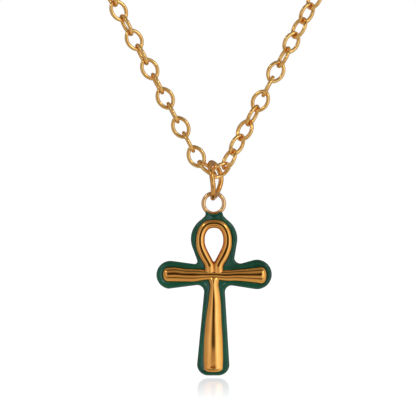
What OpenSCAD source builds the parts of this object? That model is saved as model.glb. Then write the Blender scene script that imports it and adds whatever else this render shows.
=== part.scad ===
// Ankh pendant necklace: enamelled casting, bail, jump ring and a closed loop of oval cable chain.
// X runs to the wearer's left hand side, Y runs back to the nape and Z runs up. The origin is at the nape.

/* [Chain] */
// Distance from one link to the next
pitch = 1.525; // [1.5:0.005:1.55]
// Thickness of the link wire
wire = 0.26; // [0.24:0.01:0.27]
// Width of a link over the wire
link_width = 1.67; // [1.6:0.01:1.8]
// Slack between two linked wires
slack = 0.12; // [0.12:0.01:0.14]
// Angle of each side of the V from the vertical
v_angle = 28; // [24:1:32]
// Number of links in the left side
links_left = 143; // [140:1:144]
// Number of links in the right side
links_right = 99; // [96:1:100]
// How far the chain leans back at the nape
nape_lean = 70; // [50:1:80]
// Height above the point of the V where the chain starts to lean back
lean_start = 30; // [25:1:40]

/* [Jump ring] */
// Wire thickness of the jump ring
ring_wire = 0.48; // [0.44:0.01:0.5]
// Outer diameter of the jump ring
ring_d = 3.76; // [3.7:0.01:3.8]
// Height of its centre above the point of the V
ring_z = 0.817; // [0.81:0.001:0.825]
// How far its plane is turned from straight ahead
ring_turn = 15.1; // [14.5:0.1:15.5]

/* [Bail] */
// Wire thickness of the bail ring
bail_wire = 0.35; // [0.3:0.01:0.4]
// Diameter of the hole in the bail ring
bail_hole = 1.6; // [1.58:0.01:1.64]
// Height of the bail's centre above the foot of the pendant
bail_z = 15.9; // [15.88:0.01:15.94]

/* [Casting] */
// Thickness of the back plate
plate_thick = 0.6; // [0.4:0.05:0.8]
// How far the plate stays inside the enamel's edge
plate_inset = 0.12; // [0.05:0.01:0.2]
// Half length of the crossbar to the left
bar_left = 4.73; // [4.5:0.01:4.8]
// Half length of the crossbar to the right
bar_right = 4.94; // [4.7:0.01:5]
// Height of the crossbar above the foot of the pendant
bar_z = 9.25; // [9.2:0.01:9.3]
// Width of the gold band round the loop
band = 0.78; // [0.7:0.01:0.8]

/* [Enamel] */
// Height of the enamel above the plate
enamel_high = 0.75; // [0.6:0.01:0.9]
// Gap between the enamel and the casting
gap = 0.03; // [0.02:0.005:0.05]

/* [Clasp] */
// Outer diameter of the clasp ring
clasp_d = 5.6; // [5:0.1:6]
// Wire thickness of the clasp ring
clasp_wire = 0.7; // [0.6:0.05:0.8]

/* [Hidden] */
$fn = 48;

gold = [0.83, 0.61, 0.26];
green = [0.06, 0.32, 0.23];

// Oval link: half length and half width of its middle line
link_a = (pitch + slack + wire) / 2;
link_b = (link_width - wire) / 2;
// A quarter of the oval: share of the half width and of the half length, and how far each moves with
// the wire's edge
link_quarter = [
    //  x     z    x out  z out
    [1.00, 0.30, 1.00, 0.15],
    [0.72, 0.76, 0.75, 0.60],
    [0.29, 1.00, 0.15, 1.00],
];

// The lowest links, measured from the point of the V, where the chain turns through the jump ring
M_X = 0; M_Z = 1; M_SLOPE = 2; M_ROLL = 3;
turn_links = [
    //  x      z    slope   roll
    [-0.599, 1.850, -40.6, -75.9],
    [ 0.542, 1.489,  33.0,   4.4],
];
// Distance along the loop from the point of the V to the middle of each side's next link
first_left = 3.293;
first_right = 2.944;
// Twist of the right side: link number, angle
right_twist = [[0, -73.9], [12, 46.1], [links_right, 46.1]];

// Clasp: a ring at the nape, with a small eye on its left that is turned a quarter for the last link
clasp_r = (clasp_d - clasp_wire) / 2;
eye_r = 0.8;
eye_sunk = 0.12;
eye_x = -(clasp_r + clasp_wire / 2 + eye_r - eye_sunk);
clasp_reach = -eye_x + eye_r - wire - slack + link_a;

// The loop: two straight sides, an arc round the neck, and a lean back towards the nape
half_len = first_left + (links_left - 1) * pitch + clasp_reach;
v_rad = v_angle * PI / 180;
neck_r = half_len / (1 / tan(v_angle) + PI / 2 + v_rad);
side_len = neck_r / tan(v_angle);
loop_high = neck_r / sin(v_angle) + neck_r;
lean_r = (loop_high - lean_start) / (nape_lean * PI / 180);

function arc_turn(s) = max(0, s - side_len) / neck_r * 180 / PI;
// Direction of the chain from straight up, in the flat loop
function way(s) = v_angle - arc_turn(s);
function flat_x(s) = s < side_len ? s * sin(v_angle) : neck_r * cos(arc_turn(s) - v_angle);
function flat_z(s) = s < side_len ? s * cos(v_angle)
    : neck_r / sin(v_angle) + neck_r * sin(arc_turn(s) - v_angle);
// Angle that a height in the flat loop leans back
function lean(z) = max(0, z - lean_start) / lean_r * 180 / PI;
function bent(x, z) = [x, lean_r * (1 - cos(lean(z))), min(z, lean_start) + lean_r * sin(lean(z))];
nape = bent(0, loop_high);

// Outline of the enamel, counterclockwise, as arcs joined by straight lines. A hollow arc has a negative
// radius. The share says how much of an inset an arc takes: the short neck under the bail takes little
O_X = 0; O_Z = 1; O_R = 2; O_FROM = 3; O_TO = 4; O_SHARE = 5;
outline_arcs = [
    //  x      z      r     from   to  share
    [ 0.45,  1.02,  1.02,  -90,   -3, 1.00],
    [ 1.66,  7.68, -0.60,  184,   81, 1.00],
    [ 4.00,  9.31,  1.37,  -99,  104, 1.00],
    [ 2.48, 10.90, -0.57,  284,  192, 1.00],
    [ 0.05, 12.58,  2.15,  -12,   57, 1.00],
    [ 1.25, 14.90, -0.38,  237,  180, 0.35],
    [ 0.00, 15.90, -1.02,  -48, -132, 0.35],
    [-1.13, 14.90, -0.38,    0,  -57, 0.35],
    [ 0.05, 12.58,  2.15,  123,  200, 1.00],
    [-1.75, 10.53, -0.25,   20,  -97, 1.00],
    [-3.97,  9.27,  1.30,   83,  262, 1.00],
    [-1.50,  7.70, -0.62,   98,   -4, 1.00],
    [-0.50,  1.02,  1.02,  177,  270, 1.00],
];
function arc_steps(a) = max(3, ceil(abs(a[O_TO] - a[O_FROM]) / 14));
function arc_points(a, inset) = [
    for (i = [0 : arc_steps(a)])
        let (at = a[O_FROM] + (a[O_TO] - a[O_FROM]) * i / arc_steps(a), r = abs(a[O_R] - inset * a[O_SHARE]))
        [a[O_X] + r * cos(at), a[O_Z] + r * sin(at)]
];
function outline(inset) = [for (a = outline_arcs) each arc_points(a, inset)];

// Layers that step in towards a rounded top: inset from the outline, share of the full height
enamel_layers = [[0, 0.7], [0.09, 0.9], [0.24, 1]];
loop_layers = [[0, 0.66], [0.09, 0.88], [0.2, 1]];

// Raised ankh. The bars are measured at this height above the plate
gold_high = 0.62;
// Height of the loop's crown above the plate, and the sideways place of its middle
loop_crown = 0.98;
loop_x = 0.04;
// Middle line of the loop: a top arc, a flatter arc down each side and a straight leg to the crossbar
top_r = 1.1;
top_z = 12.88;
top_half = 55;
side_arc_r = 1.9;
side_arc_to = -27;
leg_len = 2.0;
side_steps = 5;
top_steps = 4;
// Crossbar, each way from the middle: distance as a share of its length, half width
bar_left_rows = [[0, 0.42], [0.4, 0.58], [0.85, 0.65], [0.97, 0.58], [1, 0.4]];
bar_right_rows = [[0, 0.42], [0.5, 0.585], [0.9, 0.78], [0.98, 0.72], [1, 0.5]];
// Shaft: height above the foot, half width
shaft_rows = [
    [9.25, 0.44], [7.96, 0.38], [4.55, 0.765], [2.25, 0.93], [0.75, 0.96], [0.4, 0.86], [0.27, 0.6],
];
shaft_top = shaft_rows[0][0];
shaft_foot = shaft_rows[6][0];
// Depth of the axis below the gold's height: along the crossbar, and added to that at the shaft's foot
bar_sink = 0.1;
shaft_sink = 0.42;

// Depth of the bail's middle plane behind the front of the plate
bail_y = 0.2;
// Play between the bail and the jump ring it hangs on
bail_slack = 0.1;

module torus(r, thick) {
    rotate_extrude() translate([r, 0]) circle(d = thick);
}

// Draws children from the point of the V instead of the nape
module from_v() {
    translate(-nape) children();
}

// Twelve points of the oval, moved out from the wire's middle line
function oval(out) = [
    for (quarter = [0 : 3], i = [0 : 2])
        let (
            row = link_quarter[quarter % 2 == 0 ? i : 2 - i],
            x = row[0] * link_b + row[2] * out,
            z = row[1] * link_a + row[3] * out)
        [quarter == 0 || quarter == 3 ? x : -x, quarter < 2 ? z : -z]
];

// One oval link of square wire, long along Z and wide along X
module link() {
    rotate([90, 0, 0]) linear_extrude(wire, center = true)
        polygon(
            concat(oval(wire / 2), oval(-wire / 2)),
            paths = [[for (i = [0 : 11]) i], [for (i = [12 : 23]) i]]);
}

// Puts children on the loop, s mm along it from the point of the V, rolled about the chain
module on_loop(side, s, roll) {
    translate(bent(side * flat_x(s), flat_z(s)))
        rotate([-lean(flat_z(s)), 0, 0]) rotate([0, side * way(s), 0]) rotate(roll) children();
}

module turn_link(row) {
    translate([row[M_X], 0, row[M_Z]]) rotate([0, 90 - row[M_SLOPE], 0]) rotate(row[M_ROLL]) link();
}

module chain_left() {
    color(gold) from_v() {
        turn_link(turn_links[0]);
        for (i = [0 : links_left - 1]) on_loop(-1, first_left + i * pitch, 90 * (i % 2)) link();
    }
}

module chain_right() {
    color(gold) from_v() {
        turn_link(turn_links[1]);
        for (i = [0 : links_right - 1])
            on_loop(1, first_right + i * pitch, 90 * (i % 2) + lookup(i, right_twist)) link();
    }
}

// Closed tube through rings of points
module swept(rings) {
    sides = len(rings[0]);
    last = len(rings) - 1;
    polyhedron(
        points = [for (r = rings) each r],
        faces = [
            [for (k = [0 : sides - 1]) k],
            [for (k = [0 : sides - 1]) last * sides + sides - 1 - k],
            for (j = [0 : last - 1], k = [0 : sides - 1])
                let (a = j * sides + k, b = j * sides + (k + 1) % sides)
                each [[a, a + sides, b + sides], [a, b + sides, b]]
        ]);
}

// The extender stands as one eight-sided tube as wide as its links, with a small gap at each end
extender_rings = 24;
extender_sides = 8;
end_gap = 0.25;
extender_from = first_right + (links_right - 1) * pitch + link_a + wire / 2 + end_gap;
extender_to = half_len - clasp_d / 2 - end_gap;

function tube_ring(s) = let (z = flat_z(s), mid = bent(flat_x(s), z)) [
    for (k = [0 : extender_sides - 1])
        let (
            at = 360 * k / extender_sides,
            out = link_width / 2 * cos(at) * cos(way(s)),
            along = -link_width / 2 * cos(at) * sin(way(s)),
            off = link_width / 2 * sin(at))
        mid + [out, along * sin(lean(z)) + off * cos(lean(z)), along * cos(lean(z)) - off * sin(lean(z))]
];

module chain_extender() {
    color(gold) from_v() swept([
        for (i = [0 : extender_rings - 1])
            tube_ring(extender_from + (extender_to - extender_from) * i / (extender_rings - 1))
    ]);
}

module clasp() {
    color(gold) from_v() on_loop(1, half_len, 0) rotate([90, 0, 0]) {
        torus(clasp_r, clasp_wire);
        translate([0, -eye_x, 0]) rotate([0, 90, 0]) torus(eye_r, wire);
    }
}

// Jump ring: how far it leans to the left, and its centre from the point of the V
ring_lean = 2.4;
ring_x = -0.135;

module jump_ring() {
    color(gold) from_v() translate([ring_x, 0, ring_z]) rotate([0, -ring_lean, 0])
        rotate([0, 0, 90 - ring_turn]) rotate([90, 0, 0]) torus((ring_d - ring_wire) / 2, ring_wire);
}

// Height of the pendant's foot from the point of the V
ring_low_z = ring_z - (ring_d - ring_wire) / 2 * cos(ring_lean);
pendant_z = ring_low_z + ring_wire / 2 + bail_slack - bail_hole / 2 - bail_z;

// Draws children from the foot of the pendant, with the plate's front at Y = 0
module from_foot() {
    from_v() translate([0, -bail_y, pendant_z]) children();
}

// Prism on an outline in X and Z, from y_front back to y_back
module prism(points, y_front, y_back) {
    translate([0, y_back, 0]) rotate([90, 0, 0]) linear_extrude(y_back - y_front) polygon(points);
}

// Round bar along +X whose half width at the gold's height follows the rows, with its axis sunk below that
module bar(rows, length, sink) {
    rotate([0, 90, 0]) rotate_extrude() polygon([
        [0, 0],
        for (row = rows) [sqrt(row[1] * row[1] + sink * sink), row[0] * length],
        [0, length],
    ]);
}

// Round shaft whose axis sinks towards the foot, so it flattens as it widens
module shaft() {
    drop = shaft_top - shaft_foot;
    translate([0, bar_sink - gold_high, shaft_top])
        rotate([-atan(shaft_sink / drop), 0, 0]) rotate([180, 0, 0]) rotate_extrude() polygon([
            [0, 0],
            for (row = shaft_rows)
                let (sink = bar_sink + shaft_sink * (shaft_top - row[0]) / drop)
                [sqrt(row[1] * row[1] + sink * sink), shaft_top - row[0]],
            [0, drop],
        ]);
}

// Stations of the loop's middle line from its right foot to its top: X, Z, direction of its outer side
side_x = (top_r - side_arc_r) * cos(90 - top_half);
side_z = top_z + (top_r - side_arc_r) * sin(90 - top_half);
half_line = [
    [side_x + side_arc_r * cos(side_arc_to) + leg_len * sin(side_arc_to),
     side_z + side_arc_r * sin(side_arc_to) - leg_len * cos(side_arc_to), side_arc_to],
    for (i = [0 : side_steps]) let (at = side_arc_to + (90 - top_half - side_arc_to) * i / side_steps)
        [side_x + side_arc_r * cos(at), side_z + side_arc_r * sin(at), at],
    for (i = [1 : top_steps]) let (at = 90 - top_half + top_half * i / top_steps)
        [top_r * cos(at), top_z + top_r * sin(at), at],
];
loop_line = concat(half_line, [for (i = [len(half_line) - 2 : -1 : 0])
    let (row = half_line[i]) [-row[0], row[1], 180 - row[2]]]);

// Outline of the loop, filled, moved out from its middle line
function loop_outline(out) = [for (row = loop_line)
    [loop_x + row[0] + out * cos(row[2]), row[1] + out * sin(row[2])]];

// Outline of the hole, moved in from the middle line. It ends in a point, where the two legs meet
function hole_outline(inward) =
    let (rows = [for (i = [1 : len(loop_line) - 2]) loop_outline(-inward)[i]])
    concat(rows, [[loop_x, rows[0][1] + (rows[0][0] - loop_x) / tan(side_arc_to)]]);

// Prism on an outline with a hole through it
module pierced_prism(outer, hole, y_front, y_back) {
    translate([0, y_back, 0]) rotate([90, 0, 0]) linear_extrude(y_back - y_front)
        polygon(concat(outer, hole), paths = [
            [for (i = [0 : len(outer) - 1]) i],
            [for (i = [0 : len(hole) - 1]) len(outer) + i],
        ]);
}

module gold_loop() {
    for (layer = loop_layers)
        pierced_prism(loop_outline(band / 2 - layer[0]), hole_outline(band / 2 - layer[0]),
            -loop_crown * layer[1], plate_thick / 2);
}

module raised_ankh() {
    gold_loop();
    translate([0, bar_sink - gold_high, bar_z]) {
        bar(bar_right_rows, bar_right, bar_sink);
        mirror([1, 0, 0]) bar(bar_left_rows, bar_left, bar_sink);
    }
    intersection() {
        shaft();
        prism(shaft_outline(0), -2 * enamel_high, plate_thick / 2);
    }
}

// Outlines of the crossbar and of the shaft at the gold's height, moved out by a margin
function mirrored(points) = [for (i = [len(points) - 1 : -1 : 0]) [-points[i][0], points[i][1]]];
function bar_outline(margin) = let (
    right = [for (row = bar_right_rows) [row[0] * (bar_right + margin), row[1] + margin]],
    left = [for (i = [len(bar_left_rows) - 1 : -1 : 1]) let (row = bar_left_rows[i])
        [-row[0] * (bar_left + margin), row[1] + margin]],
    upper = concat(left, right))
    [for (p = upper) [p[0], bar_z + p[1]],
     for (i = [len(upper) - 1 : -1 : 0]) [upper[i][0], bar_z - upper[i][1]]];
function shaft_outline(margin) = let (
    right = [for (row = shaft_rows) [row[1] + margin, row[0] - (row[0] == shaft_foot ? margin : 0)]])
    concat(right, mirrored(right));

module bail() {
    translate([0, bail_y, bail_z]) rotate([90, 0, 0]) torus((bail_hole + bail_wire) / 2, bail_wire);
}

module pendant_casting() {
    color(gold) from_foot() {
        pierced_prism(outline(plate_inset), hole_outline(band / 2), 0, plate_thick);
        raised_ankh();
        bail();
    }
}

module enamel_border() {
    color(green) from_foot() translate([0, -gap, 0]) difference() {
        for (layer = enamel_layers) prism(outline(layer[0]), -enamel_high * layer[1], 0);
        prism(loop_outline(band / 2 + gap), -2 * enamel_high, enamel_high);
        prism(bar_outline(gap), -2 * enamel_high, enamel_high);
        prism(shaft_outline(gap), -2 * enamel_high, enamel_high);
    }
}

pendant_casting();
enamel_border();
jump_ring();
chain_left();
chain_right();
chain_extender();
clasp();
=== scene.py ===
# Ankh pendant necklace: a polished gold ankh set in green enamel, on an oval cable chain.
# Lengths are in millimetres and turn into metres as each mesh is made. Heights count from the plate's front.
import math
import bmesh
import bpy
from mathutils import Matrix, Vector
from mathutils.geometry import tessellate_polygon


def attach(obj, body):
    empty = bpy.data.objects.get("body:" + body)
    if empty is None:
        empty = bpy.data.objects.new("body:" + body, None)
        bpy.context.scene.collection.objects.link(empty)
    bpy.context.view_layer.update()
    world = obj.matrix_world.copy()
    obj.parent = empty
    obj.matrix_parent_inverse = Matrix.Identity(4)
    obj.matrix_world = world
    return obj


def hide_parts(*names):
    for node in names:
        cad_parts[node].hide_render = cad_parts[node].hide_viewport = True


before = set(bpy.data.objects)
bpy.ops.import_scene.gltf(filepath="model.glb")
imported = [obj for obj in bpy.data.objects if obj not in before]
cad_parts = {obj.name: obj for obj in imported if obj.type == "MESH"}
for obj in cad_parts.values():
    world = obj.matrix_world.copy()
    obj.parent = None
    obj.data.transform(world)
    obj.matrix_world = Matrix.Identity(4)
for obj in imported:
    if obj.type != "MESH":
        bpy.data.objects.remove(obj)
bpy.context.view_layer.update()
scene = bpy.context.scene
mm = 0.001


# One socket of a node tree. Sums on it add Math nodes, and node() adds any other kind.
class Sock:
    def __init__(self, tree, socket=None):
        self.tree, self.socket = tree, socket

    def node(self, kind, settings=None, inputs=None, out=0):
        made = self.tree.nodes.new(kind)
        for name, value in (settings or {}).items():
            if name == "stops":
                first, *middle, last = value
                stops = made.color_ramp.elements
                stops[0].position, stops[0].color = first
                stops[1].position, stops[1].color = last
                for place, colour in middle:
                    stops.new(place).color = colour
            else:
                setattr(made, name, value)
        for name, value in (inputs or {}).items():
            if isinstance(value, Sock):
                self.tree.links.new(value.socket, made.inputs[name])
            else:
                made.inputs[name].default_value = value
        return Sock(self.tree, made.outputs[out] if len(made.outputs) else None)

    def maths(self, operation, first, second=0.0):
        return self.node("ShaderNodeMath", {"operation": operation}, {0: first, 1: second})

    def __add__(self, other): return self.maths("ADD", self, other)
    def __radd__(self, other): return self.maths("ADD", other, self)
    def __sub__(self, other): return self.maths("SUBTRACT", self, other)
    def __rsub__(self, other): return self.maths("SUBTRACT", other, self)
    def __mul__(self, other): return self.maths("MULTIPLY", self, other)
    def __rmul__(self, other): return self.maths("MULTIPLY", other, self)
    def __truediv__(self, other): return self.maths("DIVIDE", self, other)
    def __rtruediv__(self, other): return self.maths("DIVIDE", other, self)

    def mix(self, factor, first, second):
        return self.node("ShaderNodeMix", {"data_type": "RGBA"}, {0: factor, 6: first, 7: second}, out=2)

    def noise(self, where, scale, detail=3.0, roughness=0.5):
        return self.node("ShaderNodeTexNoise", {}, {
            "Vector": where, "Scale": scale, "Detail": detail, "Roughness": roughness})

    def smooth(self, value, low, high):
        return self.node("ShaderNodeMapRange", {"interpolation_type": "SMOOTHSTEP"}, {
            "Value": value, "From Min": low, "From Max": high})


def newMaterial(name):
    material = bpy.data.materials.new(name)
    material.use_nodes = True
    material.node_tree.nodes.clear()
    return material, Sock(material.node_tree)


# Golds: clouds of lighter and deeper colour, a fine haze, and faint dull specks left by the polishing
chainGoldLook = {
    "name": "chainGold", "edgeTint": (0.80, 0.60, 0.36, 1),
    "lightColour": (0.98, 0.60, 0.17, 1), "deepColour": (0.90, 0.49, 0.11, 1),
    "cloudScale": 420.0, "hazeScale": 2600.0, "hazeShare": 0.35, "toneFrom": 0.45, "toneTo": 0.9,
    "speckColour": (0.55, 0.26, 0.06, 1), "speckScale": 7000.0, "speckFrom": 0.60, "speckTo": 0.72,
    "speckShare": 0.25, "speckRough": 0.06,
    "roughLow": 0.09, "roughSpread": 0.07, "lacquer": 0.7, "lacquerRough": 0.1,
    "rippleStrength": 0.08, "rippleHigh": 0.010, "rippleCloud": 0.6, "rippleHaze": 0.4,
}
castGoldLook = dict(
    chainGoldLook, name="castGold", lightColour=(0.93, 0.44, 0.075, 1), deepColour=(0.84, 0.36, 0.05, 1),
    edgeTint=(0.62, 0.40, 0.22, 1), cloudScale=260.0, hazeScale=1100.0, roughLow=0.07, rippleHigh=0.012,
    paleColour=(0.90, 0.52, 0.20, 1), paleFrom=-146.5, paleTo=-146.2)    # the bail is rubbed paler
paleGoldLook = dict(
    chainGoldLook, name="paleGold", lightColour=(0.90, 0.47, 0.11, 1), deepColour=(0.80, 0.37, 0.065, 1),
    roughLow=0.12)


def goldMaterial(look):
    material, start = newMaterial(look["name"])
    where = start.node("ShaderNodeTexCoord", out=3)                      # place on the object
    cloud = start.noise(where, look["cloudScale"])
    haze = start.noise(where, look["hazeScale"], 4.0, 0.6)
    specks = start.smooth(start.noise(where, look["speckScale"], 2.0, 0.7), look["speckFrom"], look["speckTo"])
    tone = start.smooth(cloud + look["hazeShare"] * haze, look["toneFrom"], look["toneTo"])
    colour = start.mix(tone, look["deepColour"], look["lightColour"])
    if "paleColour" in look:
        high = start.node("ShaderNodeSeparateXYZ", {}, {0: where}, out=2)
        pale = start.smooth(high, look["paleFrom"] * mm, look["paleTo"] * mm)
        colour = start.mix(pale, colour, look["paleColour"])
    colour = start.mix(look["speckShare"] * specks, colour, look["speckColour"])
    ripple = start.node("ShaderNodeBump", {}, {
        "Strength": look["rippleStrength"], "Distance": look["rippleHigh"] * mm,
        "Height": look["rippleCloud"] * cloud + look["rippleHaze"] * haze})
    shader = start.node("ShaderNodeBsdfPrincipled", {}, {
        "Base Color": colour, "Metallic": 1.0, "Specular Tint": look["edgeTint"],
        "Roughness": look["roughLow"] + look["roughSpread"] * haze + look["speckRough"] * specks,
        "Coat Weight": look["lacquer"], "Coat Roughness": look["lacquerRough"], "Normal": ripple})
    start.node("ShaderNodeOutputMaterial", {}, {"Surface": shader})
    return material


# Enamel: fired glass, cloudy and finely grained, whose top lies in long soft waves
enamelLook = {
    "name": "greenEnamel",
    "deepGreen": (0.0006, 0.037, 0.016, 1), "lightGreen": (0.0018, 0.069, 0.030, 1),
    "cloudScale": 520.0, "cloudShare": 0.8, "grainScale": 6500.0, "grainShare": 0.25,
    "toneFrom": 0.35, "toneTo": 0.72, "roughLow": 0.07, "roughSpread": 0.09,
    "waveScale": 900.0, "waveStrength": 0.6, "waveHigh": 0.03, "waveGrain": 0.08,
    "refraction": 1.40, "coat": 0.12, "coatRough": 0.05,
}


def enamelMaterial(look):
    material, start = newMaterial(look["name"])
    where = start.node("ShaderNodeTexCoord", out=3)                      # place on the object
    cloud = start.noise(where, look["cloudScale"], 4.0, 0.6)
    grain = start.noise(where, look["grainScale"], 2.0)
    wave = start.noise(where, look["waveScale"], 1.0, 0.4)
    depth = look["cloudShare"] * cloud + look["grainShare"] * grain
    tone = start.smooth(depth, look["toneFrom"], look["toneTo"])
    surface = start.node("ShaderNodeBump", {}, {
        "Strength": look["waveStrength"], "Distance": look["waveHigh"] * mm,
        "Height": wave + look["waveGrain"] * grain})
    shader = start.node("ShaderNodeBsdfPrincipled", {}, {
        "Base Color": start.mix(tone, look["deepGreen"], look["lightGreen"]),
        "Roughness": look["roughLow"] + look["roughSpread"] * cloud, "IOR": look["refraction"],
        "Coat Weight": look["coat"], "Coat Roughness": look["coatRough"], "Normal": surface})
    start.node("ShaderNodeOutputMaterial", {}, {"Surface": shader})
    return material


chainGold = goldMaterial(chainGoldLook)
castGold = goldMaterial(castGoldLook)
paleGold = goldMaterial(paleGoldLook)
greenEnamel = enamelMaterial(enamelLook)
print("materials made")


def putInScene(name, data):
    made = bpy.data.objects.new(name, data)
    scene.collection.objects.link(made)
    return made


# Points and faces of one piece, in millimetres, gathered from its parts
class Shape:
    def __init__(self):
        self.points, self.faces = [], []

    # a skin over a row of rings with the same number of points; gives back the number of its first point
    def rings(self, rings, closed=False, capped=False):
        start, count, size = len(self.points), len(rings), len(rings[0])
        for ring in rings:
            self.points += [Vector(p) for p in ring]
        for j in range(count if closed else count - 1):
            here, there = start + j * size, start + (j + 1) % count * size
            for k in range(size):
                after = (k + 1) % size
                self.faces.append((here + k, here + after, there + after, there + k))
        if capped:
            self.faces.append(tuple(range(start, start + size))[::-1])
            self.faces.append(tuple(range(start + (count - 1) * size, start + count * size)))
        return start

    # a flat sheet with a hole, between points that are there already
    def sheet(self, loops, numbers):
        flat = [number for row in numbers for number in row]
        for face in tessellate_polygon([[Vector((x, z, 0)) for x, z in line] for line in loops]):
            self.faces.append(tuple(flat[i] for i in face))

    def piece(self, name, material, body, slotName, *nodes, sharp=38, weld=1e-7):
        mesh = bpy.data.meshes.new(name)
        mesh.from_pydata([tuple(p * mm) for p in self.points], [], self.faces)
        work = bmesh.new()
        work.from_mesh(mesh)
        bmesh.ops.remove_doubles(work, verts=work.verts, dist=weld)
        bmesh.ops.dissolve_degenerate(work, edges=work.edges, dist=weld)
        bmesh.ops.recalc_face_normals(work, faces=work.faces)
        work.to_mesh(mesh)
        work.free()
        mesh.polygons.foreach_set("use_smooth", [True] * len(mesh.polygons))
        mesh.set_sharp_from_angle(angle=math.radians(sharp))
        mesh.materials.append(material)
        made = putInScene(name, mesh)
        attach(made, body)
        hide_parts(*nodes)
        print(name, len(mesh.polygons), "faces")


def turn(angle, axis):
    return Matrix.Rotation(math.radians(angle), 4, axis)


# Points round a wire: how far out, and how far across
def wireSection(wire, sides):
    return [(wire / 2 * math.cos(2 * math.pi * k / sides), wire / 2 * math.sin(2 * math.pi * k / sides))
            for k in range(sides)]


# The chain's loop: two straight sides up from the point of the V, an arc round the neck, and a lean back
loop = {"halfLength": 224.6955, "vAngle": 28.0, "napeLean": 70.0, "leanStart": 30.0}
halfTurn = math.radians(loop["vAngle"])
neckRadius = loop["halfLength"] / (1 / math.tan(halfTurn) + math.pi / 2 + halfTurn)
sideLength = neckRadius / math.tan(halfTurn)
loopHigh = neckRadius / math.sin(halfTurn) + neckRadius
leanRadius = (loopHigh - loop["leanStart"]) / math.radians(loop["napeLean"])


# Place and direction on the loop as it would lie flat
def flatPoint(along):
    if along < sideLength:
        return along * math.sin(halfTurn), along * math.cos(halfTurn), halfTurn
    arc = (along - sideLength) / neckRadius
    return (neckRadius * math.cos(arc - halfTurn),
            neckRadius / math.sin(halfTurn) + neckRadius * math.sin(arc - halfTurn), halfTurn - arc)


def leanedPoint(x, z):
    lean = max(0.0, z - loop["leanStart"]) / leanRadius
    back = leanRadius * (1 - math.cos(lean))
    return Vector((x, back, min(z, loop["leanStart"]) + leanRadius * math.sin(lean))), lean


vPoint = -leanedPoint(0, loopHigh)[0]                                    # the nape is the origin


def onLoop(side, along, roll):
    x, z, way = flatPoint(along)
    place, lean = leanedPoint(side * x, z)
    return (Matrix.Translation(vPoint + place) @ Matrix.Rotation(-lean, 4, "X")
            @ Matrix.Rotation(side * way, 4, "Y") @ turn(roll, "Z"))


def fromV(x, y, z, slope, roll):
    return Matrix.Translation(vPoint + Vector((x, y, z))) @ turn(90 - slope, "Y") @ turn(roll, "Z")


# Oval link of round wire: its middle line is four arcs, tight at the ends and open along the sides
link = {"pitch": 1.525, "wire": 0.355, "halfLong": 0.945, "halfWide": 0.685, "endRadius": 0.46,
        "steps": 8, "sides": 12}


def ovalLine():
    long, wide, end = link["halfLong"], link["halfWide"], link["endRadius"]
    side = ((long - end) ** 2 + wide ** 2 - end ** 2) / (2 * (wide - end))
    join = math.atan2(long - end, side - wide)
    line = []
    for x, z, radius, start, stop in (
            (wide - side, 0, side, -join, join), (0, long - end, end, join, math.pi - join),
            (side - wide, 0, side, math.pi - join, math.pi + join),
            (0, end - long, end, math.pi + join, 2 * math.pi - join)):
        for step in range(link["steps"]):
            at = start + (stop - start) * step / link["steps"]
            line.append((x + radius * math.cos(at), z + radius * math.sin(at), at))
    return line


oneLink = [[Vector((x + out * math.cos(at), across, z + out * math.sin(at)))
            for out, across in wireSection(link["wire"], link["sides"])] for x, z, at in ovalLine()]


def makeLinks(places):
    shape = Shape()
    for place in places:
        shape.rings([[place @ p for p in ring] for ring in oneLink], closed=True)
    return shape


chain = {
    # the two links that meet over the jump ring: x, y, z, slope, roll
    "turnLeft": (-0.607, 0.005, 1.889, -39.7, -71.0), "turnRight": (0.599, 0.224, 1.713, 32.4, 46.5),
    "leftLinks": 143, "rightLinks": 99, "extenderLinks": 46,
    "firstLeft": 3.293, "firstRight": 2.944,                             # along the loop from the V's point
    "leftLift": 0.09, "rightLift": 0.15,                                 # the lowest links are drawn up
    "leftTwist": 24.0, "leftTwistStart": 2, "leftTwistLinks": 9, "leftTwistHeld": 12,
    "rightTwist": -54.2, "neckTwist": 46.1, "rightTwistLinks": 9.5, "napeTwist": 90.0,
    "claspReach": 2.1, "claspOverlap": 0.02,                             # where the extender meets the clasp
}


# Degrees that a link is turned about the chain, beyond the quarter turn between neighbours
def leftTwist(number):
    share = min(1.0, max(0.0, (number - chain["leftTwistStart"]) / chain["leftTwistLinks"]))
    loss = max(0, number - chain["leftTwistHeld"]) / (chain["leftLinks"] - 1 - chain["leftTwistHeld"])
    return chain["leftTwist"] * share * (1 - loss)


def rightTwist(number):
    share = min(1.0, number / chain["rightTwistLinks"])
    return chain["rightTwist"] + (chain["neckTwist"] - chain["rightTwist"]) * share


def alongLoop(first, lift, number, count):
    return first + number * link["pitch"] + lift * (1 - number / (count - 1))


leftPlaces = [fromV(*chain["turnLeft"])]
for i in range(chain["leftLinks"]):
    along = alongLoop(chain["firstLeft"], chain["leftLift"], i, chain["leftLinks"])
    leftPlaces.append(onLoop(-1, along, 90 * (i % 2) + leftTwist(i)))
rightPlaces = [fromV(*chain["turnRight"])]
for i in range(chain["rightLinks"]):
    along = alongLoop(chain["firstRight"], chain["rightLift"], i, chain["rightLinks"])
    rightPlaces.append(onLoop(1, along, 90 * (i % 2) + rightTwist(i)))
rightEnd = chain["firstRight"] + (chain["rightLinks"] - 1) * link["pitch"]
extenderEnd = (loop["halfLength"] - chain["claspReach"] - link["halfLong"] + link["wire"] / 2
               + chain["claspOverlap"])
extenderPlaces = []
for i in range(1, chain["extenderLinks"] + 1):
    share = i / chain["extenderLinks"]
    twist = chain["neckTwist"] + (chain["napeTwist"] - chain["neckTwist"]) * share
    quarter = 90 * ((chain["rightLinks"] - 1 + i) % 2)
    extenderPlaces.append(onLoop(1, rightEnd + (extenderEnd - rightEnd) * share, quarter + twist))
makeLinks(leftPlaces).piece("leftLinks", chainGold, "chain", "gold", "chain_left")
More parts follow.
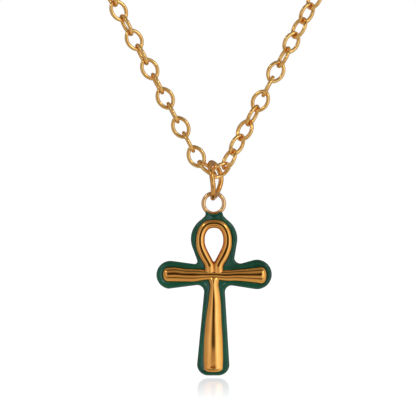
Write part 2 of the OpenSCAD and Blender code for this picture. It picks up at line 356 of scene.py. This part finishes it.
makeLinks(rightPlaces).piece("rightLinks", chainGold, "chain", "gold", "chain_right")
makeLinks(extenderPlaces).piece("extenderLinks", chainGold, "chain", "gold", "chain_extender")

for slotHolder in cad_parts["clasp"].material_slots:                # the clasp's shape is right as it is
    slotHolder.material = chainGold

# Jump ring: one turn of wire with a thin cut, bent a little sideways and pulled open towards the top
jumpRing = {"radius": 1.64, "wire": 0.48, "x": -0.118, "z": 0.791, "lean": 2.4, "turn": 15.1,
            "bow": 0.42, "open": 0.94, "openTop": 0.28, "openFoot": 0.5,
            "steps": 72, "sides": 16, "cutAt": 62.0, "cut": 0.7}


def makeJumpRing():
    ring = jumpRing
    place = (Matrix.Translation(vPoint + Vector((ring["x"], 0, ring["z"]))) @ turn(-ring["lean"], "Y")
             @ turn(90 - ring["turn"], "Z") @ turn(90, "X"))
    sideways = math.sin(math.radians(ring["turn"]))
    sections = []
    for step in range(ring["steps"] + 1):
        at = math.radians(ring["cutAt"] + ring["cut"] + (360 - 2 * ring["cut"]) * step / ring["steps"])
        up, aside = math.sin(at), math.cos(at)
        opening = ring["open"] + ring["openTop" if up > 0 else "openFoot"] * up
        section = [place @ Vector(((ring["radius"] + out) * aside, (ring["radius"] + out) * up, across))
                   for out, across in wireSection(ring["wire"], ring["sides"])]
        for point in section:
            point.x += ring["bow"] * aside ** 2                          # bent a little sideways
            point.x += (opening - 1) * sideways * ring["radius"] * aside
        sections.append(section)
    shape = Shape()
    shape.rings(sections, capped=True)
    return shape


makeJumpRing().piece("jumpRing", paleGold, "ring", "pale_gold", "jump_ring")

# The pendant is drawn in X and Z from its foot. The plate's front lies a little before the point of the V
pendant = {"before": 0.2, "below": 17.1816}
footPoint = vPoint + Vector((0, -pendant["before"], -pendant["below"]))


def atFoot(x, z, high):
    return footPoint + Vector((x, -high, z))


# Outline arcs, counterclockwise: x, z, radius, from, to, and the share of an inset that the arc takes, or its
# shares at start and end. A hollow arc's radius is negative
pendantOutline = {
    "arcs": [(0.45, 1.02, 1.02, -90, -3, 1.00), (1.66, 7.68, -0.60, 184, 81, 1.00),
             (4.00, 9.31, 1.37, -99, 104, 1.00), (2.48, 10.90, -0.57, 284, 192, 1.00),
             (0.05, 12.58, 2.15, -12, 57, 1.00), (1.25, 14.90, -0.38, 237, 180, 1.00, 0.35),
             (0.00, 15.90, -1.02, -48, -132, 0.35), (-1.13, 14.90, -0.38, 0, -57, 0.35, 1.00),
             (0.05, 12.58, 2.15, 123, 200, 1.00), (-1.75, 10.53, -0.25, 20, -97, 1.00),
             (-3.97, 9.27, 1.30, 83, 262, 1.00), (-1.50, 7.70, -0.62, 98, -4, 1.00),
             (-0.50, 1.02, 1.02, 177, 270, 1.00)],
    "stepDegrees": 8, "fewestSteps": 4,
}


def outline(inset):
    line = []
    for x, z, radius, start, stop, *shares in pendantOutline["arcs"]:
        steps = max(pendantOutline["fewestSteps"], math.ceil(abs(stop - start) / pendantOutline["stepDegrees"]))
        for i in range(steps + 1):
            at = math.radians(start + (stop - start) * i / steps)
            share = shares[0] + (shares[-1] - shares[0]) * i / steps
            out = abs(radius - inset * share)
            line.append((x + out * math.cos(at), z + out * math.sin(at)))
    return line


# Values on a smooth curve through rows of (place, value, ...)
def spline(rows, at):
    rows = sorted(rows)
    if at <= rows[0][0]:
        return rows[0][1:]
    if at >= rows[-1][0]:
        return rows[-1][1:]
    i = max(k for k in range(len(rows) - 1) if rows[k][0] <= at)
    before, low, high, after = rows[max(0, i - 1)], rows[i], rows[i + 1], rows[min(len(rows) - 1, i + 2)]
    t = (at - low[0]) / (high[0] - low[0])
    found = []
    for c in range(1, len(low)):
        slopeLow = (high[c] - before[c]) / (high[0] - before[0]) * (high[0] - low[0])
        slopeHigh = (after[c] - low[c]) / (after[0] - low[0]) * (high[0] - low[0])
        found.append((2 * t ** 3 - 3 * t ** 2 + 1) * low[c] + (t ** 3 - 2 * t ** 2 + t) * slopeLow
                     + (3 * t ** 2 - 2 * t ** 3) * high[c] + (t ** 3 - t ** 2) * slopeHigh)
    return found


# A bar's rounded end: how far along each station is, and how much of the full size is left there
def endStations(end, reach, steps, fullness, firstStep=0.25):
    found = []
    for i in range(steps):
        at = math.pi / 2 * (i + firstStep) / steps
        found.append((end + reach * math.cos(at), math.sin(at) ** fullness))
    return found


# Beside the gold the enamel is level at this height. Every gold form is a little wider than the share of it
# that is seen, because its shoulders sink into the enamel
enamelLevel = 0.63

# Gold loop. Rows run from the right foot to the top: place, outer x and z, inner x and z, with x from the
# loop's own middle
band = {
    "rows": [(0, 0.87, 9.30, -0.12, 9.30), (1, 0.86, 9.70, -0.12, 9.76), (2, 0.88, 10.05, -0.09, 10.20),
             (3, 1.00, 10.33, 0.06, 10.50), (4, 1.23, 10.67, 0.30, 10.96), (5, 1.47, 11.16, 0.55, 11.44),
             (6, 1.65, 11.80, 0.775, 11.95), (7, 1.695, 12.40, 0.845, 12.42), (8, 1.635, 12.98, 0.81, 12.86),
             (9, 1.42, 13.60, 0.68, 13.20), (10, 1.02, 14.09, 0.47, 13.46), (11, 0.53, 14.335, 0.22, 13.56),
             (12, 0.0, 14.38, 0.0, 13.58)],
    "x": 0.04, "seenShare": 0.935, "rise": 0.47, "sunkShare": 0.35, "flat": 2.6, "innerDeep": 0.58,
    "outerDeep": 0.2, "footSink": 0.2, "sinkFrom": 9.95,                 # the feet sink under the crossbar
    "holeFrom": 10.42, "steps": 20, "between": 4,
}


def bandEdges():
    half = []
    more = (1 / band["seenShare"] - 1) / 2
    for i in range(band["rows"][-1][0] * band["between"] + 1):
        outX, outZ, inX, inZ = spline(band["rows"], i / band["between"])
        half.append(((outX + (outX - inX) * more, outZ + (outZ - inZ) * more), (inX, inZ)))
    half[-1] = ((0.0, half[-1][0][1]), (0.0, half[-1][1][1]))
    both = half + [((-outX, outZ), (-inX, inZ)) for (outX, outZ), (inX, inZ) in half[-2::-1]]
    return [(band["x"] + outX, outZ, band["x"] + inX, inZ) for (outX, outZ), (inX, inZ) in both]


def addBand(shape):
    rings = []
    for outX, outZ, inX, inZ in bandEdges():
        rise = band["rise"] - band["footSink"] * max(0.0, band["sinkFrom"] - outZ)
        ring = [atFoot(inX, inZ, -band["innerDeep"])]
        for k in range(band["steps"] + 1):
            across = -math.cos(math.pi * k / band["steps"])
            crown = (1 - abs(across) ** band["flat"]) ** 0.5
            share = (across + 1) / 2
            ring.append(atFoot(inX + (outX - inX) * share, inZ + (outZ - inZ) * share,
                               enamelLevel + rise * (crown - band["sunkShare"])))
        ring.append(atFoot(outX, outZ, -band["outerDeep"]))
        rings.append(ring)
    shape.rings(rings, capped=True)


# Crossbar: x, lower edge, upper edge, height of the crown over its widest line
crossbar = {
    "rows": [(-4.34, 8.62, 9.98, 0.59), (-3.50, 8.61, 10.02, 0.61), (-2.58, 8.61, 9.88, 0.56),
             (-1.66, 8.615, 9.86, 0.54), (-0.74, 8.76, 9.75, 0.46), (0.1, 8.82, 9.70, 0.42),
             (1.10, 8.69, 9.71, 0.45), (2.02, 8.69, 9.79, 0.49), (2.95, 8.61, 9.87, 0.55),
             (3.87, 8.50, 9.98, 0.65), (4.50, 8.41, 10.07, 0.71)],
    "left": -4.72, "right": 4.95, "leftRound": 0.50, "rightRound": 0.56, "fullness": 0.75,
    "seenShare": 0.935, "sunkShare": 0.355, "deep": 0.1, "steps": 24, "endSteps": 8, "stations": 48,
}


def addCrossbar(shape):
    bar = crossbar
    low, high = bar["left"] + bar["leftRound"], bar["right"] - bar["rightRound"]
    stations = endStations(low, -bar["leftRound"], bar["endSteps"], bar["fullness"])
    for i in range(bar["stations"] + 1):
        stations.append((low + (high - low) * i / bar["stations"], 1.0))
    stations += endStations(high, bar["rightRound"], bar["endSteps"], bar["fullness"])[::-1]
    rings = []
    for x, size in stations:
        lower, upper, rise = spline(bar["rows"], min(max(x, low), high))
        middle, half = (lower + upper) / 2, (upper - lower) / 2 * size / bar["seenShare"]
        ring = [atFoot(x, middle - half, -bar["deep"])]
        for k in range(bar["steps"] + 1):
            at = math.pi * k / bar["steps"]
            ring.append(atFoot(x, middle - half * math.cos(at),
                               enamelLevel + rise * (size * math.sin(at) - bar["sunkShare"])))
        ring.append(atFoot(x, middle + half, -bar["deep"]))
        rings.append(ring)
    shape.rings(rings, capped=True)


# Shaft: z, left edge, right edge, height of the crown over its widest line
shaft = {
    "rows": [(9.3, -0.50, 0.56, 0.05), (9.02, -0.50, 0.56, 0.34), (8.79, -0.49, 0.55, 0.48),
             (8.33, -0.37, 0.51, 0.46), (7.87, -0.395, 0.57, 0.43), (7.23, -0.465, 0.645, 0.42),
             (6.49, -0.557, 0.72, 0.445), (5.11, -0.75, 0.775, 0.48), (3.26, -0.907, 0.872, 0.49),
             (2.45, -0.925, 0.888, 0.487), (1.42, -0.93, 0.888, 0.42), (0.87, -0.89, 0.85, 0.37)],
    "top": 9.25, "foot": 0.28, "footRound": 0.46, "footWide": 0.45, "fullness": 0.8,
    "seenShare": 0.93, "sunkShare": 0.315, "deep": 0.1, "ridge": 1.8, "ridgeFull": 0.55, "ridgeX": -0.01,
    "steps": 32, "footSteps": 8, "stations": 64, "crowding": 1.5,        # closer towards the foot
    "pit": {"x": 0.02, "z": 0.84, "radius": 0.15, "deep": 0.17},         # the casting has one small pit there
}


def addShaft(shape):
    bar, pit = shaft, shaft["pit"]
    low = bar["foot"] + bar["footRound"]
    stations = endStations(low, -bar["footRound"], bar["footSteps"], bar["fullness"])
    for i in range(bar["stations"] + 1):
        stations.append((low + (bar["top"] - low) * (i / bar["stations"]) ** bar["crowding"], 1.0))
    rings = []
    for z, size in stations:
        left, right, rise = spline(bar["rows"], max(z, low))
        wide = bar["footWide"] + (1 - bar["footWide"]) * size
        left, right = left / bar["seenShare"], right / bar["seenShare"]
        ring = [atFoot(left * wide, z, -bar["deep"])]
        for k in range(bar["steps"] + 1):
            across = math.sin(math.pi * (k / bar["steps"] - 0.5))
            reach = right - bar["ridgeX"] if across > 0 else bar["ridgeX"] - left
            x = bar["ridgeX"] + across * reach * wide
            crown = size * (1 - abs(across) ** bar["ridge"]) ** bar["ridgeFull"]
            high = enamelLevel + rise * (crown - bar["sunkShare"])
            near = math.hypot(x - pit["x"], z - pit["z"]) / pit["radius"]
            if near < 1:
                high -= pit["deep"] * (1 - near ** 2) ** 2
            ring.append(atFoot(x, z, high))
        ring.append(atFoot(right * wide, z, -bar["deep"]))
        rings.append(ring)
    shape.rings(rings, capped=True)


# Bail: a wire ring cast with the pendant, a little behind the plate's front
bail = {"x": 0.02, "z": 15.84, "radius": 0.948, "wire": 0.39, "flat": 0.94, "behind": 0.2,
        "steps": 64, "sides": 16}


def addBail(shape):
    rings = []
    for step in range(bail["steps"]):
        at = 2 * math.pi * step / bail["steps"]
        rings.append([atFoot(bail["x"] + (bail["radius"] + out) * math.cos(at),
                             bail["z"] + (bail["radius"] + out) * math.sin(at),
                             bail["flat"] * across - bail["behind"])
                      for out, across in wireSection(bail["wire"], bail["sides"])])
    shape.rings(rings, closed=True)


# Rows of (inset from the outline, height), joined up, and closed by a sheet that goes round the hole
def addRim(shape, rows, hole, holeHigh):
    loops = [outline(inset) for inset, high in rows]
    start = shape.rings([[atFoot(x, z, high) for x, z in line] for line, (inset, high) in zip(loops, rows)])
    size = len(loops[-1])
    first = start + (len(loops) - 1) * size
    holeStart = len(shape.points)
    shape.points += [atFoot(x, z, holeHigh) for x, z in hole]
    shape.sheet([loops[-1], hole], [range(first, first + size), range(holeStart, holeStart + len(hole))])


# Back plate, front to back; the edge behind is rounded
plate = {"rows": [(0.12, 0.0), (0.12, -0.36), (0.135, -0.46), (0.18, -0.55), (0.26, -0.595), (0.36, -0.6)]}

holeLine = [(inX, inZ) for outX, outZ, inX, inZ in bandEdges() if inZ > band["holeFrom"]]
casting = Shape()
addBand(casting)
addCrossbar(casting)
addShaft(casting)
addBail(casting)
addRim(casting, plate["rows"], holeLine, plate["rows"][-1][1])
casting.piece("goldAnkh", castGold, "pendant", "gold", "pendant_casting")

# Enamel, from its underside over the dome and down beside the gold, with a hole wider than the loop's
enamel = {
    "rows": [(0.16, -0.005), (0.03, -0.005), (0.0, 0.05), (0.0, 0.30), (0.012, 0.42), (0.045, 0.53),
             (0.10, 0.62), (0.17, 0.68), (0.25, 0.705), (0.33, 0.70), (0.41, 0.67), (0.47, enamelLevel)],
    "holeMiddle": 12.4, "holeWider": 0.25, "holeTaller": 0.12, "sharp": 60,
}


def makeEnamel():
    hole = [(x + (x - band["x"]) * enamel["holeWider"], z + (z - enamel["holeMiddle"]) * enamel["holeTaller"])
            for x, z in holeLine]
    shape = Shape()
    addRim(shape, enamel["rows"], hole, enamelLevel)
    return shape


makeEnamel().piece("greenBorder", greenEnamel, "pendant", "enamel", "enamel_border", sharp=enamel["sharp"])

# Studio: a light tent whose panels above, below, left and right each change with the angle from straight ahead
tent = {
    # angle from straight ahead, colour
    "right": [(0, (0.03, 0.02, 0.01)), (10, (0.04, 0.03, 0.02)), (15, (0.4, 0.4, 0.4)), (21, (1.15, 1.25, 1.5)),
              (29, (1.35, 1.75, 2.5)), (38, (1.25, 1.42, 1.8)), (50, (1.1, 1.15, 1.3)), (62, (0.92, 0.92, 1.0)),
              (80, (0.8, 0.8, 0.85)), (112, (0.56, 0.55, 0.58)), (140, (0.32, 0.3, 0.3)),
              (160, (0.34, 0.32, 0.32)), (174, (1.0, 1.0, 1.0))],
    "left": [(0, (0.03, 0.02, 0.01)), (10, (0.04, 0.03, 0.02)), (15, (0.3, 0.28, 0.27)), (21, (0.78, 0.8, 0.9)),
             (29, (0.92, 0.98, 1.25)), (38, (0.68, 0.66, 0.76)), (50, (0.54, 0.52, 0.6)),
             (66, (0.46, 0.44, 0.5)), (90, (0.53, 0.52, 0.58)), (115, (0.45, 0.45, 0.48)),
             (140, (0.28, 0.26, 0.26)), (160, (0.3, 0.28, 0.28)), (174, (1.0, 1.0, 1.0))],
    "up": [(0, (0.03, 0.02, 0.01)), (14, (0.04, 0.03, 0.02)), (24, (0.36, 0.34, 0.34)),
           (36, (0.46, 0.43, 0.45)), (43, (0.3, 0.28, 0.27)), (49, (0.03, 0.02, 0.01)),
           (55, (0.03, 0.02, 0.01)), (63, (0.34, 0.33, 0.34)), (74, (0.36, 0.36, 0.38)),
           (110, (0.36, 0.36, 0.37)), (140, (0.26, 0.24, 0.24)), (160, (0.3, 0.28, 0.28)),
           (174, (1.0, 1.0, 1.0))],
    "down": [(0, (0.03, 0.02, 0.01)), (7, (0.16, 0.14, 0.12)), (14, (0.62, 0.58, 0.58)),
             (30, (0.58, 0.55, 0.55)), (37, (0.2, 0.18, 0.17)), (43, (0.02, 0.02, 0.01)),
             (49, (0.3, 0.28, 0.27)), (56, (0.6, 0.58, 0.58)), (70, (0.66, 0.64, 0.64)),
             (110, (0.62, 0.62, 0.63)), (140, (0.34, 0.32, 0.32)), (160, (0.34, 0.32, 0.32)),
             (174, (1.0, 1.0, 1.0))],
    "darkUp": 4.0,                                                       # how far up the dark spot ahead stands
    "brightest": 2.5, "seam": 0.001, "background": (1.0, 1.0, 1.0, 1),
}


def makeTent():
    world = bpy.data.worlds.new("lightTent")
    scene.world = world
    world.use_nodes = True
    world.node_tree.nodes.clear()
    start = Sock(world.node_tree)
    way = start.node("ShaderNodeTexCoord", out=0)                        # the way that is looked along
    x, y, z = [start.node("ShaderNodeSeparateXYZ", {}, {0: way}, out=i) for i in range(3)]
    up = math.radians(tent["darkUp"])
    angle = start.maths("ARCCOSINE", z * math.sin(up) - y * math.cos(up)) / math.pi

    def panel(name):
        stops = [(place / 180, tuple(c / tent["brightest"] for c in colour) + (1.0,))
                 for place, colour in tent[name]]
        return start.node("ShaderNodeValToRGB", {"stops": stops}, {"Fac": angle})

    def between(side, low, high):                                        # two panels meet in a narrow seam
        return start.mix(start.smooth(side, -tent["seam"], tent["seam"]), panel(low), panel(high))

    sideways = x * x / (x * x + z * z + 1e-6)                            # never divided by nothing
    colour = start.mix(sideways, between(z, "down", "up"), between(x, "left", "right"))
    lit = start.node("ShaderNodeBackground", {}, {"Color": colour, "Strength": tent["brightest"]})
    plain = start.node("ShaderNodeBackground", {}, {"Color": tent["background"], "Strength": 1.0})
    fromCamera = start.node("ShaderNodeLightPath", out=0)
    both = start.node("ShaderNodeMixShader", {}, {0: fromCamera, 1: lit, 2: plain})
    start.node("ShaderNodeOutputWorld", {}, {"Surface": both})


makeTent()

floor = {"below": 0.12, "size": 8.0, "colour": (0.14, 0.14, 0.14, 1), "light": (1.0, 1.0, 1.0, 1), "glow": 1.0,
         "grainScale": 900.0, "roughLow": 0.8, "roughSpread": 0.1,
         "gloss": 0.49, "grazing": 8.0, "mirrorRough": 0.05,             # a mirror only from low down
         "glossFrom": 4.0, "glossTo": 60.0}                              # and round the pendant's foot


def makeFloor():
    material, start = newMaterial("paleFloor")
    where = start.node("ShaderNodeTexCoord", out=3)                      # place on the object
    grain = start.noise(where, floor["grainScale"], 2.0)
    away = start.node("ShaderNodeVectorMath", {"operation": "DISTANCE"}, {0: where, 1: footPoint * mm}, out=1)
    facing = start.node("ShaderNodeLayerWeight", {}, {"Blend": 0.5}, out=1)
    low = start.maths("POWER", facing, floor["grazing"])
    gloss = floor["gloss"] * low * (1.0 - start.smooth(away, floor["glossFrom"] * mm, floor["glossTo"] * mm))
    matt = start.node("ShaderNodeBsdfPrincipled", {}, {
        "Base Color": floor["colour"], "Roughness": floor["roughLow"] + floor["roughSpread"] * grain,
        "Specular IOR Level": 0.0, "Emission Color": floor["light"], "Emission Strength": floor["glow"]})
    mirror = start.node("ShaderNodeBsdfAnisotropic", {}, {
        "Color": floor["light"], "Roughness": floor["mirrorRough"]})
    both = start.node("ShaderNodeMixShader", {}, {0: gloss, 1: matt, 2: mirror})
    start.node("ShaderNodeOutputMaterial", {}, {"Surface": both})
    mesh = bpy.data.meshes.new("paleFloor")
    half, high = floor["size"] / 2, (footPoint.z - floor["below"]) * mm
    corners = [(-half, -half, high), (half, -half, high), (half, half, high), (-half, half, high)]
    mesh.from_pydata(corners, [], [(0, 1, 2, 3)])
    mesh.materials.append(material)
    made = putInScene("paleFloor", mesh)
    made.visible_glossy = False                                          # the gold mirrors only the tent


makeFloor()

# A softbox in front, and small lamps that leave soft glints on the enamel's rounded edges
softbox = {"size": 0.7, "power": 3.0, "place": Vector((0.15, -0.75, 0.45))}
lamps = {"size": 0.16, "power": 0.5, "away": 1.0, "places": ((42, 30), (-40, 34))}      # degrees aside and up


def makeLight(name, look, place):
    data = bpy.data.lights.new(name, "AREA")
    data.size, data.energy = look["size"], look["power"]
    made = putInScene(name, data)
    made.location = place
    made.rotation_euler = (footPoint * mm - place).to_track_quat("-Z", "Y").to_euler()
    return made


makeLight("softbox", softbox, softbox["place"]).visible_glossy = False
for number, (side, up) in enumerate(lamps["places"]):
    side, up = math.radians(side), math.radians(up)
    way = Vector((math.sin(side) * math.cos(up), -math.cos(side) * math.cos(up), math.sin(up)))
    makeLight(f"lamp{number}", lamps, footPoint * mm + way * lamps["away"])

# The camera looks level, and its frame is as wide as the photograph's at the pendant
camera = {"x": -0.51, "z": -145.97, "away": 350.0, "frameWide": 38.34, "sensor": 36.0,
          "near": 0.01, "far": 20.0}


def makeCamera():
    data = bpy.data.cameras.new("camera")
    data.sensor_width = camera["sensor"]
    data.lens = camera["sensor"] * camera["away"] / camera["frameWide"]
    data.clip_start, data.clip_end = camera["near"], camera["far"]
    made = putInScene("camera", data)
    made.location = (camera["x"] * mm, (footPoint.y - camera["away"]) * mm, camera["z"] * mm)
    made.rotation_euler = (math.pi / 2, 0, 0)
    scene.camera = made


makeCamera()
scene.view_settings.view_transform = "Standard"
print("studio made")
